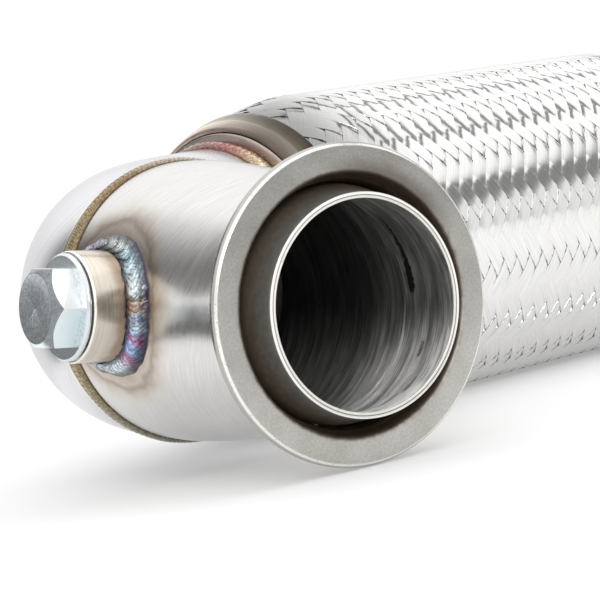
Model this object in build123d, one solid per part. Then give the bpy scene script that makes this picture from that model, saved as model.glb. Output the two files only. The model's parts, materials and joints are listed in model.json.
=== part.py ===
from build123d import *
import os
from math import cos, pi, radians, sin, sqrt, tan

# Driving dimensions, in millimetres and degrees.

# The pipe stock that the downpipe is welded up from.
pipe_od = 76.2
pipe_wall = 1.65

# The inlet flange: a flared ring with a short neck, gripped by a band clamp.
flange_od = 81.0
flange_rim_thickness = 2.2
flange_rim_chamfer = 1.0
flange_back_angle = 20.0
flange_back_drop = 5.4
flange_back_chamfer = 1.6
flange_mouth_d = 66.2
flange_mouth_round = 0.9
flange_mouth_depth = 7.0
neck_od = 64.6
neck_wall = 1.7
neck_length = 10.0

# The inner sleeve that stands proud of the flange face.
sleeve_od = 56.0
sleeve_wall = 1.6
sleeve_proud = 5.7
sleeve_lip_chamfer = 0.5
sleeve_flare_depth = 6.0
sleeve_length_behind_face = 19.5

# The reducer between the neck and the elbow, measured from the flange face.
taper_start = 18.0
taper_end = 66.0
reducer_end = 82.9

# The elbow: a tight bend with a short straight at each end.
elbow_turn = 79.0
elbow_radius = 55.0
elbow_straight = 3.0

# The sensor bung, its plug and its washer.
bung_depth = 61.4
bung_clock = 7.0
bung_od = 29.2
bung_rise = 9.6
bung_edge_chamfer = 0.7
thread_d = 18.0
bung_port_d = 19.0
washer_od = 24.0
washer_thickness = 1.4
washer_recess = 1.0
plug_collar_od = 28.0
plug_collar_thickness = 1.25
plug_collar_chamfer = 0.6
plug_hex_af = 20.2
plug_hex_height = 7.8
plug_face_d = 18.3
plug_chamfer_angle = 42.0
plug_shank_length = 11.0

# The flexible section, measured along its own axis from the start of the braid.
# Each rise is the height over the pipe's outside.
flex_neck_length = 8.2
flex_shoulder_rise = 4.1
flex_shoulder_start = 5.1
flex_shoulder_end = 3.2
flex_shoulder_chamfer = 1.0
flex_nipple_reach = 11.0
cap_rise = 9.1
cap_wall = 1.3
cap_start = 4.4
cap_cone_end = 2.2
cap_end = 5.0
cap_round = 5.0
cap_nose_round = 1.0
braid_rise = 12.9
braid_thickness = 1.6
braid_length = 190.0
braid_tail = 2.5
braid_swell = 22.0
bellows_crest_rise = 8.9
bellows_root_rise = 2.9
bellows_wall = 0.6
bellows_cuff = 20.0
bellows_waves = 9
bellows_crest_width = 9.0
liner_thickness = 1.2
liner_nose_length = 12.0
liner_nose_drop = 1.5
liner_end_gap = 2.5

# The plain pipe end behind the flexible section, of heavier stock.
outlet_length = 65.0
outlet_wall = 2.1

# Weld beads: width along the pipe and height over it.
neck_bead_width = 5.0
neck_bead_height = 1.2
seam_bead_width = 6.5
seam_bead_height = 1.2
flex_bead_width = 6.0
flex_bead_height = 2.2
sleeve_bead_width = 2.4
bung_bead_reach = 5.9
bung_bead_height = 3.4
bung_bead_chamfer = 2.0

# Clearances.
weld_seat = 0.05
slip_clearance = 0.25
braid_clearance = 0.3
thread_clearance = 0.1
face_seat = 0.02

# Sizes that follow from the driving dimensions.
pipe_r = pipe_od / 2
bung_top = pipe_r + bung_rise
bore_r = pipe_r - pipe_wall
neck_r = neck_od / 2
neck_bore_r = neck_r - neck_wall
flange_r = flange_od / 2
mouth_r = flange_mouth_d / 2
sleeve_r = sleeve_od / 2
sleeve_skirt_r = neck_bore_r - slip_clearance
bung_r = bung_od / 2
shoulder_r = pipe_r + flex_shoulder_rise
cap_r = pipe_r + cap_rise
cap_bore_r = cap_r - cap_wall
braid_r = pipe_r + braid_rise
cuff_r = pipe_r + slip_clearance
flex_far = braid_length

# The bend lies in one plane, with the flexible section along +X. The inlet's
# own axis runs into the pipe along this heading.
heading = Vector(cos(radians(elbow_turn)), sin(radians(elbow_turn)), 0)
side = Vector(sin(radians(elbow_turn)), -cos(radians(elbow_turn)), 0)
seam_point = heading * reducer_end
bend_start = seam_point + heading * elbow_straight
bend_centre = bend_start + side * elbow_radius
bend_end = bend_centre + Vector(0, elbow_radius, 0)
elbow_end = bend_end + Vector(elbow_straight, 0, 0)
braid_start = elbow_end + Vector(flex_neck_length, 0, 0)

# The part lies on its braid and on the rim of its flange, so the plane of the
# bend is rolled about X until both touch one level floor.
arm = braid_start.Y
rim_turn = sin(radians(elbow_turn))
span = arm**2 + (flange_r * rim_turn) ** 2
roll_sine = (
    braid_r * arm
    - sqrt((braid_r * arm) ** 2 - span * (braid_r**2 - flange_r**2))
) / span
roll_cosine = sqrt(1 - roll_sine**2)
bend_plane = Plane(
    origin=(0, 0, 0), x_dir=(1, 0, 0), z_dir=(0, -roll_sine, roll_cosine)
)


def in_bend(point):
    """A point of the bend's own plane, as a point of the part."""
    return bend_plane.from_local_coords(point)


def seat_at(point, along, across):
    """A seat in the bend's plane: its axis runs along, its X points across."""
    turned_along = in_bend(along) - in_bend(Vector(0, 0, 0))
    turned_across = in_bend(across) - in_bend(Vector(0, 0, 0))
    return Plane(origin=in_bend(point), x_dir=turned_across, z_dir=turned_along)


inlet_seat = seat_at(Vector(0, 0, 0), heading, side * -1)
elbow_end_seat = seat_at(elbow_end, Vector(1, 0, 0), Vector(0, 1, 0))
flex_seat = seat_at(braid_start, Vector(1, 0, 0), Vector(0, 1, 0))
outlet_seat = Plane(
    origin=flex_seat.from_local_coords((0, 0, flex_far + flex_neck_length)),
    x_dir=flex_seat.x_dir,
    z_dir=flex_seat.z_dir,
)


def outline(points, rounds=(), flats=()):
    """A closed (radius, depth) outline.

    Rounds and flats hold (radius, depth, size) of the corners to break.
    """
    face = make_face(Polyline(*points, close=True))
    for breaker, corners in ((fillet, rounds), (chamfer, flats)):
        for radius, depth, size in corners:
            corner = face.vertices().sort_by_distance(Vector(radius, depth, 0))[0]
            face = breaker(corner, size)
    return Plane.XZ * face


def turned(face, seat=Plane.XY):
    """A ring turned from an outline about the seat's axis."""
    return seat.location * revolve(face, Axis.Z)


def tube(outer_r, inner_r, start, end, seat=Plane.XY):
    """A plain tube between two depths of a seat."""
    points = [(inner_r, start), (outer_r, start), (outer_r, end), (inner_r, end)]
    return turned(outline(points), seat)


def bead(pipe_radius, width, height, seat=Plane.XY):
    """A weld bead round a pipe: a low crown with sloped sides, on the seat."""
    foot = pipe_radius + weld_seat
    toe = width / 2
    crown = toe - height
    points = [(foot, -toe), (foot + height, -crown), (foot + height, crown), (foot, toe)]
    return turned(outline(points), seat)


def reducer_radius(depth):
    """The reducer's outer radius at a depth behind the flange face."""
    share = (depth - taper_start) / (taper_end - taper_start)
    return neck_r + (pipe_r - neck_r) * min(max(share, 0), 1)


def reducer_body(extra):
    """The reducer as a solid, with its surface moved out by extra."""
    points = [
        (0, neck_length),
        (neck_r + extra, neck_length),
        (neck_r + extra, taper_start),
        (pipe_r + extra, taper_end),
        (pipe_r + extra, reducer_end),
        (0, reducer_end),
    ]
    return turned(outline(points))


# The boss's axis is square to the inlet's, clocked round from the outside of
# the bend.
bung_way = Vector(cos(radians(bung_clock)), sin(radians(bung_clock)), 0)
bung_seat = Plane(origin=(0, 0, bung_depth), x_dir=(0, 0, 1), z_dir=bung_way)


def bung_post(radius, start=0.0, end=bung_top):
    """A round post on the boss's axis, between two distances from the pipe's."""
    post = Cylinder(radius, end - start, align=(Align.CENTER, Align.CENTER, Align.MIN))
    return bung_seat.location * Pos(0, 0, start) * post


def inlet_flange():
    """The flared ring: a flat face, a coned mouth, a clamp back and a neck."""
    back_r = flange_r - flange_back_drop
    back = flange_rim_thickness + flange_back_drop * tan(radians(flange_back_angle))
    points = [
        (mouth_r, 0),
        (flange_r - flange_rim_chamfer, 0),
        (flange_r, flange_rim_chamfer),
        (flange_r, flange_rim_thickness),
        (back_r, back),
        (neck_r, back),
        (neck_r, neck_length - face_seat),
        (neck_bore_r, neck_length - face_seat),
        (neck_bore_r, flange_mouth_depth),
    ]
    rounds = [(mouth_r, 0, flange_mouth_round)]
    flats = [(neck_r, back, flange_back_chamfer)]
    return turned(outline(points, rounds, flats), inlet_seat)


def inlet_sleeve():
    """The tube inside the flange: straight where it shows, then flared to a skirt."""
    skirt_bore = sleeve_skirt_r - sleeve_wall
    points = [
        (sleeve_r - sleeve_wall, -sleeve_proud),
        (sleeve_r, -sleeve_proud),
        (sleeve_r, 0),
        (sleeve_skirt_r, sleeve_flare_depth),
        (sleeve_skirt_r, sleeve_length_behind_face),
        (skirt_bore, sleeve_length_behind_face),
        (skirt_bore, sleeve_flare_depth + sleeve_wall / 2),
        (sleeve_r - sleeve_wall, sleeve_wall / 2),
    ]
    flats = [
        (sleeve_r, -sleeve_proud, sleeve_lip_chamfer),
        (sleeve_r - sleeve_wall, -sleeve_proud, sleeve_lip_chamfer),
    ]
    return turned(outline(points, flats=flats), inlet_seat)


def inlet_reducer():
    """The coned pipe behind the flange, with the sensor port cut through it."""
    bore = reducer_body(-pipe_wall)
    shell = reducer_body(0) - bore - bung_post(bung_port_d / 2)
    return inlet_seat.location * shell


def inlet_flange_weld():
    """The bead that joins the flange's neck to the reducer."""
    ring = Pos(0, 0, neck_length) * bead(neck_r, neck_bead_width, neck_bead_height)
    return inlet_seat.location * ring


def elbow_seam_weld():
    """The bead between reducer and elbow, stopped where the boss's bead crosses."""
    ring = Pos(0, 0, reducer_end) * bead(pipe_r, seam_bead_width, seam_bead_height)
    ring -= bung_post(bung_r + bung_bead_reach + weld_seat)
    return inlet_seat.location * ring


def sleeve_weld():
    """The inner bead that ties the sleeve's end to the reducer's bore."""
    start = sleeve_length_behind_face + weld_seat
    end = start + sleeve_bead_width
    seat_r = reducer_radius(start) - pipe_wall - weld_seat
    far_r = reducer_radius(end) - pipe_wall - weld_seat
    points = [(sleeve_skirt_r - sleeve_wall / 2, start), (seat_r, start), (far_r, end)]
    return turned(outline(points), inlet_seat)


def elbow():
    """The bent pipe, with a short straight at each end."""
    path = [
        Line(seam_point + heading * face_seat, bend_start),
        TangentArc(bend_start, bend_end, tangent=heading),
        Line(bend_end, elbow_end - Vector(face_seat, 0, 0)),
    ]
    start = Plane(origin=seam_point + heading * face_seat, z_dir=heading)
    ring = start * (Circle(pipe_r) - Circle(bore_r))
    return bend_plane.location * sweep(ring, path=Wire(path))


def sensor_bung():
    """The threaded boss, coped to the reducer, with a recess for the washer."""
    post = bung_post(bung_r)
    rim = post.edges().filter_by(GeomType.CIRCLE).sort_by_distance(
        bung_seat.from_local_coords((0, 0, bung_top))
    )
    post = chamfer(rim[0], bung_edge_chamfer)
    post -= reducer_body(weld_seat)
    post -= bung_post(thread_d / 2)
    recess_floor = bung_top - washer_recess
    recess_r = washer_od / 2 + slip_clearance
    post -= bung_post(recess_r, recess_floor, bung_top + washer_recess)
    return inlet_seat.location * post


def bung_weld():
    """The saddle bead between the boss and the reducer."""
    cup = reducer_body(bung_bead_height) & bung_post(bung_r + bung_bead_reach)
    top = cup.edges().filter_by(lambda e: e.center().dot(bung_way) > neck_r)
    cup = chamfer(top, bung_bead_chamfer)
    cup -= reducer_body(weld_seat)
    cup -= bung_post(bung_r + weld_seat)
    return inlet_seat.location * cup


def plug_washer():
    """The flat washer in the boss's recess."""
    floor = bung_top - washer_recess + face_seat
    ring = bung_post(washer_od / 2, floor, floor + washer_thickness)
    ring -= bung_post(thread_d / 2 + slip_clearance, floor, bung_top + washer_thickness)
    return inlet_seat.location * ring


def sensor_plug():
    """The plug: a chamfered hexagon on a round collar, and its shank."""
    seat = bung_top - washer_recess + washer_thickness + 2 * face_seat
    collar_top = seat + plug_collar_thickness
    hex_top = collar_top + plug_hex_height
    hex_r = plug_hex_af / 2 / cos(pi / 6)
    face_r = plug_face_d / 2
    bevel = (hex_r - face_r) * tan(radians(plug_chamfer_angle))
    collar_r = plug_collar_od / 2
    collar = outline(
        [
            (0, seat),
            (collar_r, seat),
            (collar_r, collar_top - plug_collar_chamfer),
            (collar_r - plug_collar_chamfer, collar_top),
            (0, collar_top),
        ]
    )
    cone = outline(
        [
            (0, seat),
            (hex_r, seat),
            (hex_r, hex_top - bevel),
            (face_r, hex_top),
            (0, hex_top),
        ]
    )
    hexagon = Pos(0, 0, seat) * extrude(RegularPolygon(hex_r, 6), hex_top - seat)
    head = turned(collar) + (hexagon & turned(cone))
    shank_r = thread_d / 2 - thread_clearance
    shank = bung_post(shank_r, seat - plug_shank_length, seat + face_seat)
    return inlet_seat.location * (bung_seat.location * head + shank)


def flex_neck(seat):
    """The end fitting of the flexible section: a nipple with a raised shoulder."""
    points = [
        (bore_r, -flex_neck_length),
        (pipe_r, -flex_neck_length),
        (pipe_r, -flex_shoulder_start),
        (shoulder_r, -flex_shoulder_start),
        (shoulder_r, -flex_shoulder_end),
        (pipe_r, -flex_shoulder_end),
        (pipe_r, flex_nipple_reach),
        (bore_r, flex_nipple_reach),
    ]
    flats = [(shoulder_r, -flex_shoulder_start, flex_shoulder_chamfer)]
    return turned(outline(points, flats=flats), seat)


def flex_cap(seat):
    """The coned and rounded ring that holds the braid's end round the neck."""
    hold_r = shoulder_r + slip_clearance
    nose_r = hold_r + cap_wall
    floor = cap_wall / 2 - flex_shoulder_end
    points = [
        (hold_r, -cap_start),
        (nose_r, -cap_start),
        (cap_r, cap_cone_end),
        (cap_r, cap_end),
        (cap_bore_r, cap_end),
        (cap_bore_r, cap_cone_end),
        (hold_r + cap_wall / 2, floor),
        (hold_r, floor),
    ]
    rounds = [(nose_r, -cap_start, cap_nose_round), (cap_r, cap_cone_end, cap_round)]
    return turned(outline(points, rounds), seat)


def flex_braid():
    """The woven sleeve as a plain shell, which swells slowly from each cap."""
    tuck_r = cap_bore_r - braid_clearance
    rise = braid_r - tuck_r
    start = cap_end - braid_tail
    full = cap_end + braid_swell
    outside = [(tuck_r, start), (tuck_r, cap_end)]
    for share in (1 / 3, 2 / 3):
        outside.append((tuck_r + rise * sin(share * pi / 2), cap_end + share * braid_swell))
    outside.append((braid_r, full))
    inside = [(radius - braid_thickness, depth) for radius, depth in outside]
    far_outside = [(radius, flex_far - depth) for radius, depth in reversed(outside)]
    far_inside = [(radius, flex_far - depth) for radius, depth in inside]
    points = outside + far_outside + far_inside + list(reversed(inside))
    return turned(outline(points), flex_seat)


def bellows_side(inset):
    """One side of the bellows' wall: waves between two cuffs, inset from outside."""
    cuff = cuff_r + bellows_wall - inset
    crest = pipe_r + bellows_crest_rise - inset
    root = pipe_r + bellows_root_rise - inset
    pitch = (flex_far - 2 * bellows_cuff - bellows_crest_width) / (bellows_waves - 1)
    points = [(cuff, 0)]
    for wave in range(bellows_waves):
        rise = bellows_cuff + wave * pitch + inset
        fall = rise + bellows_crest_width - 2 * inset
        before = cuff if wave == 0 else root
        after = cuff if wave == bellows_waves - 1 else root
        points += [(before, rise), (crest, rise), (crest, fall), (after, fall)]
    return points + [(cuff, flex_far)]


def flex_bellows():
    """The gas-tight bellows: a thin wall folded into waves between two cuffs."""
    wall = bellows_side(0) + list(reversed(bellows_side(bellows_wall)))
    return turned(outline(wall), flex_seat)


def flex_liner():
    """The inner flow liner: a thin tube, coned in at the end that the gas leaves."""
    outer_r = bore_r - slip_clearance
    tip_r = outer_r - liner_nose_drop
    end = flex_far - liner_end_gap
    outside = [(outer_r, liner_end_gap), (outer_r, end - liner_nose_length), (tip_r, end)]
    inside = [(radius - liner_thickness, depth) for radius, depth in reversed(outside)]
    return turned(outline(outside + inside), flex_seat)


def outlet_pipe():
    """The plain pipe end that the next section slides on to."""
    return tube(pipe_r, pipe_r - outlet_wall, face_seat, outlet_length, outlet_seat)


# The far end fitting and cap are the near ones turned round to face back.
far_seat = Plane(
    origin=flex_seat.from_local_coords((0, 0, flex_far)),
    x_dir=flex_seat.x_dir,
    z_dir=flex_seat.z_dir * -1,
)

pieces = {
    "inlet_sleeve": inlet_sleeve(),
    "inlet_flange": inlet_flange(),
    "inlet_flange_weld": inlet_flange_weld(),
    "inlet_reducer": inlet_reducer(),
    "sleeve_weld": sleeve_weld(),
    "elbow_seam_weld": elbow_seam_weld(),
    "elbow": elbow(),
    "sensor_bung": sensor_bung(),
    "bung_weld": bung_weld(),
    "plug_washer": plug_washer(),
    "sensor_plug": sensor_plug(),
    "elbow_flex_weld": bead(pipe_r, flex_bead_width, flex_bead_height, elbow_end_seat),
    "flex_inlet_neck": flex_neck(flex_seat),
    "flex_inlet_cap": flex_cap(flex_seat),
    "flex_liner": flex_liner(),
    "flex_bellows": flex_bellows(),
    "flex_braid": flex_braid(),
    "flex_outlet_cap": flex_cap(far_seat),
    "flex_outlet_neck": flex_neck(far_seat),
    "flex_outlet_weld": bead(pipe_r, flex_bead_width, flex_bead_height, outlet_seat),
    "outlet_pipe": outlet_pipe(),
}

os.makedirs("parts", exist_ok=True)
for node, piece in pieces.items():
    piece.label = node
    export_step(piece, f"parts/{node}.step")
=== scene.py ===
import json
import logging
import math
from dataclasses import dataclass
from enum import Enum
from typing import Callable

import bmesh
import bpy
import numpy as np
from mathutils import Matrix, Vector


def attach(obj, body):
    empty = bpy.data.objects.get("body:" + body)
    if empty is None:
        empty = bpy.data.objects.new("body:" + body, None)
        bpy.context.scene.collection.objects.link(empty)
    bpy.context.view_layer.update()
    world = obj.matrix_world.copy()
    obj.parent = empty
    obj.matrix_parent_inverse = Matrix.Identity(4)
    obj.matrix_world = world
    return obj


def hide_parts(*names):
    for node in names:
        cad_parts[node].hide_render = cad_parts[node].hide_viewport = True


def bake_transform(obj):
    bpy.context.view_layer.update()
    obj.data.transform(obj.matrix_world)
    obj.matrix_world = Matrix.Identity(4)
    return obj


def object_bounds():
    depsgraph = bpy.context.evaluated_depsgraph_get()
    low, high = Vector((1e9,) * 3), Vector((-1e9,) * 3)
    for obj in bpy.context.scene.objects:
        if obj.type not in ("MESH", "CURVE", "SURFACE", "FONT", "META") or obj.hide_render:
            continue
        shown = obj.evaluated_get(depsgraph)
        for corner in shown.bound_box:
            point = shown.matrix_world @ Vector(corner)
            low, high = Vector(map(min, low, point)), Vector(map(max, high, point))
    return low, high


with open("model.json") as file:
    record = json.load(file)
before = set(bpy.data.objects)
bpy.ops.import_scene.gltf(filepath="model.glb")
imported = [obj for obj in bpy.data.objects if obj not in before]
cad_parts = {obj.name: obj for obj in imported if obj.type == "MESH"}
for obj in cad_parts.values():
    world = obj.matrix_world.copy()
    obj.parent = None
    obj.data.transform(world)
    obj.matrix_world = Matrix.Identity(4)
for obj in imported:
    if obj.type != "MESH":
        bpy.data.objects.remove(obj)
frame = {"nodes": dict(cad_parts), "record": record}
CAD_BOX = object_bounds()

Piece = bpy.types.Object
Material = bpy.types.Material

log = logging.getLogger("downpipe")

MM = 0.001
FULL_TURN = 2 * math.pi
DEGREES = 360.0 / FULL_TURN
MERGE = 0.001 * MM
ON_AXIS = 0.001
BENCH = "bench"
WHITE = (1.0, 1.0, 1.0)


@dataclass(frozen=True)
class Seat:
    """A place on the part: an origin, an axis and a direction square to it.

    A piece is shaped on the bench with its axis along Z, and its seat carries it
    to its place on the part.
    """

    origin: Vector
    axis: Vector
    across: Vector

    def matrix(self) -> Matrix:
        """The transform from the bench to the part.

        Returns:
            The transform, in metres.
        """
        z = self.axis.normalized()
        x = (self.across - z * self.across.dot(z)).normalized()
        turn = Matrix((x, z.cross(x), z)).transposed().to_4x4()
        return Matrix.Translation(self.origin) @ turn

    def shifted(self, along: float) -> "Seat":
        """The same seat, moved along its axis by some millimetres."""
        move = self.axis.normalized() * (along * MM)
        return Seat(self.origin + move, self.axis, self.across)


@dataclass(frozen=True)
class Layout:
    """Where the pipe runs, and the sizes that its pieces share, in millimetres."""

    inlet: Seat
    flex: Seat
    pipe_radius: float = 38.1
    wall: float = 1.65
    neck_radius: float = 32.3
    neck_length: float = 10.0
    reducer_end: float = 82.9
    fitting_length: float = 8.2
    braid_length: float = 190.0

    @staticmethod
    def from_frame() -> "Layout":
        """Reads the pipe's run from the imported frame's inlet mount and its joint.

        Returns:
            The layout.
        """
        record = frame["record"]
        mounts = {mount["name"]: mount for mount in record["mounts"]}
        into = -Vector(mounts["inlet_spigot"]["axis"])
        along = Vector((1, 0, 0))
        square = into.cross(along).normalized() * -1
        outward = along.cross(square).normalized()
        bend = Vector(record["behaviour"]["joints"][0]["pos_m"])
        start = bend - along * (Layout.braid_length * MM) / 2
        inlet = Seat(Vector((0, 0, 0)), into, square.cross(into))
        return Layout(inlet=inlet, flex=Seat(start, along, outward))


def make_active(piece: Piece | None) -> None:
    """Selects one piece alone and makes it active, or with none deselects all.

    Args:
        piece: the piece.
    """
    if bpy.context.mode != "OBJECT":
        bpy.ops.object.mode_set(mode="OBJECT")
    bpy.ops.object.select_all(action="DESELECT")
    if piece is not None:
        piece.select_set(True)
        bpy.context.view_layer.objects.active = piece


def points_of(piece: Piece, unit: float = MM) -> np.ndarray:
    """The piece's vertices as rows, in millimetres or another unit.

    Args:
        piece: the piece.
        unit: the unit of the rows, in metres.

    Returns:
        The rows.
    """
    flat = np.zeros(len(piece.data.vertices) * 3, np.float32)
    piece.data.vertices.foreach_get("co", flat)
    return flat.reshape(-1, 3).astype(float) / unit


def put_points(piece: Piece, points: np.ndarray, unit: float = MM) -> None:
    """Writes the piece's vertices back from rows."""
    piece.data.vertices.foreach_set("co", (points * unit).astype(np.float32).ravel())
    piece.data.update()


def keep_bench(piece: Piece, rows: np.ndarray) -> None:
    """Stores each vertex's place on the bench, in millimetres, for the materials."""
    layer = piece.data.attributes.new(BENCH, "FLOAT_VECTOR", "POINT")
    layer.data.foreach_set("vector", rows.astype(np.float32).ravel())


def keep_number(piece: Piece, name: str, values: np.ndarray) -> None:
    """Stores one number for each vertex, for the materials."""
    layer = piece.data.attributes.new(name, "FLOAT", "POINT")
    layer.data.foreach_set("value", values.astype(np.float32).ravel())


def mark_inside(piece: Piece, rows: np.ndarray, middle: np.ndarray | float) -> None:
    """Marks the vertices on a pipe's inside, nearer its axis than the wall's middle."""
    keep_number(piece, "inner", np.hypot(rows[:, 0], rows[:, 1]) < middle)


def ringed(angle: np.ndarray, out: np.ndarray, depth: np.ndarray) -> np.ndarray:
    """Rows of (x, y, z) from directions, radii and depths."""
    return np.stack([out * np.cos(angle), out * np.sin(angle), depth], axis=1)


def apply_modifier(piece: Piece, kind: str, **settings: object) -> None:
    """Adds a modifier to the piece, sets it and applies it.

    Args:
        piece: the piece to change.
        kind: the modifier's type name.
        settings: the modifier's properties.
    """
    make_active(piece)
    modifier = piece.modifiers.new(kind.title(), kind)
    for name, value in settings.items():
        setattr(modifier, name, value)
    bpy.ops.object.modifier_apply(modifier=modifier.name)


def close_mesh() -> None:
    """Merges doubled vertices, turns the faces outwards and leaves edit mode."""
    bpy.ops.mesh.select_all(action="SELECT")
    bpy.ops.mesh.remove_doubles(threshold=MERGE)
    bpy.ops.mesh.normals_make_consistent(inside=False)
    bpy.ops.object.mode_set(mode="OBJECT")


def new_ring(name: str, count: int, radius: float) -> Piece:
    """Adds a circle of vertices, with its radius in millimetres.

    Args:
        name: its name.
        count: how many vertices it gets.
        radius: its radius, in millimetres.

    Returns:
        The piece.
    """
    make_active(None)
    bpy.ops.mesh.primitive_circle_add(vertices=count, radius=radius * MM)
    bpy.context.object.name = name
    return bpy.context.object


def turned(
    name: str, outline: list[tuple[float, ...]], steps: int = 192, arc_steps: int = 5
) -> Piece:
    """Turns a ring about the bench's Z axis from a closed outline.

    Args:
        name: the piece's name.
        outline: corners as (radius, depth) or, where the corner is rounded,
            (radius, depth, size of the round), in millimetres. The largest round
            is cut first.
        steps: how many steps the full turn takes.
        arc_steps: how many edges each round gets.

    Returns:
        The ring, on the bench.
    """
    piece = new_ring(name, len(outline), 1.0)
    put_points(piece, np.array([(corner[0], 0.0, corner[1]) for corner in outline]))
    bpy.ops.object.mode_set(mode="EDIT")
    bpy.ops.mesh.select_mode(type="VERT")
    rounds = [corner for corner in outline if len(corner) == 3]
    for radius, depth, size in sorted(rounds, key=lambda corner: -corner[2]):
        bpy.ops.mesh.select_all(action="DESELECT")
        mesh = bmesh.from_edit_mesh(piece.data)
        spot = Vector((radius * MM, 0, depth * MM))
        min(mesh.verts, key=lambda v: (v.co - spot).length).select = True
        bmesh.update_edit_mesh(piece.data)
        bpy.ops.mesh.bevel(offset=size * MM, segments=arc_steps, affect="VERTICES")
    bpy.ops.mesh.select_all(action="SELECT")
    bpy.ops.mesh.spin(steps=steps, angle=FULL_TURN, center=(0, 0, 0), axis=(0, 0, 1))
    close_mesh()
    return piece


def waves(seed: int, count: int, lowest: int, highest: int) -> Callable:
    """A fixed, gentle random curve round a circle, between about -1 and 1.

    Args:
        seed: the seed of the draw.
        count: how many sine waves are added.
        lowest: the fewest waves in a turn.
        highest: the most waves in a turn.

    Returns:
        A function of an array of angles.
    """
    draw = np.random.default_rng(seed)
    rates = draw.integers(lowest, highest + 1, count)
    phases = draw.uniform(0, FULL_TURN, count)
    sizes = draw.uniform(0.4, 1.0, count)
    sizes /= sizes.sum()

    def curve(angle: np.ndarray) -> np.ndarray:
        """The curve's value at each angle."""
        total = np.zeros_like(angle)
        for rate, phase, size in zip(rates, phases, sizes):
            total += size * np.sin(rate * angle + phase)
        return total

    return curve


class Value:
    """A number, vector or colour of a node tree. Numbers take plain arithmetic."""

    def __init__(self, nodes: "Nodes", socket: bpy.types.NodeSocket) -> None:
        """Wraps a node's output socket."""
        self.nodes = nodes
        self.socket = socket

    def __add__(self, other: object) -> "Value":
        """This number plus another."""
        return self.nodes.maths("ADD", self, other)

    def __sub__(self, other: object) -> "Value":
        """This number less another."""
        return self.nodes.maths("SUBTRACT", self, other)

    def __rsub__(self, other: float) -> "Value":
        """A plain number less this one."""
        return self.nodes.maths("SUBTRACT", other, self)

    def __mul__(self, other: object) -> "Value":
        """This number times another."""
        return self.nodes.maths("MULTIPLY", self, other)

    def __truediv__(self, other: object) -> "Value":
        """This number divided by another."""
        return self.nodes.maths("DIVIDE", self, other)

    def __neg__(self) -> "Value":
        """This number with its sign turned."""
        return self * -1.0

    def __abs__(self) -> "Value":
        """This number without its sign."""
        return self.nodes.maths("ABSOLUTE", self)

    def __lt__(self, other: object) -> "Value":
        """1 where this number is the smaller one, and 0 elsewhere."""
        return self.nodes.maths("LESS_THAN", self, other)

    def fract(self) -> "Value":
        """What this number has after its point."""
        return self.nodes.maths("FRACT", self)

    def remap(self, low: float, high: float, first: float = 0.0, last: float = 1.0) -> "Value":
        """This number carried smoothly from one range to another, and clamped."""
        feeds = dict(enumerate((self, low, high, first, last)))
        return self.nodes.value("ShaderNodeMapRange", feeds, interpolation_type="SMOOTHSTEP")

    def window(self, low: float, high: float, soft: float) -> "Value":
        """1 between two values and 0 outside them, with soft edges."""
        rise = self.remap(low - soft, low + soft)
        return rise * self.remap(high - soft, high + soft, 1.0, 0.0)


class Grain(Enum):
    """The way that the marks of brushing run: round a pipe or at a slant to it."""

    ROUND = "round"
    SLANT = "slant"


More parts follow.
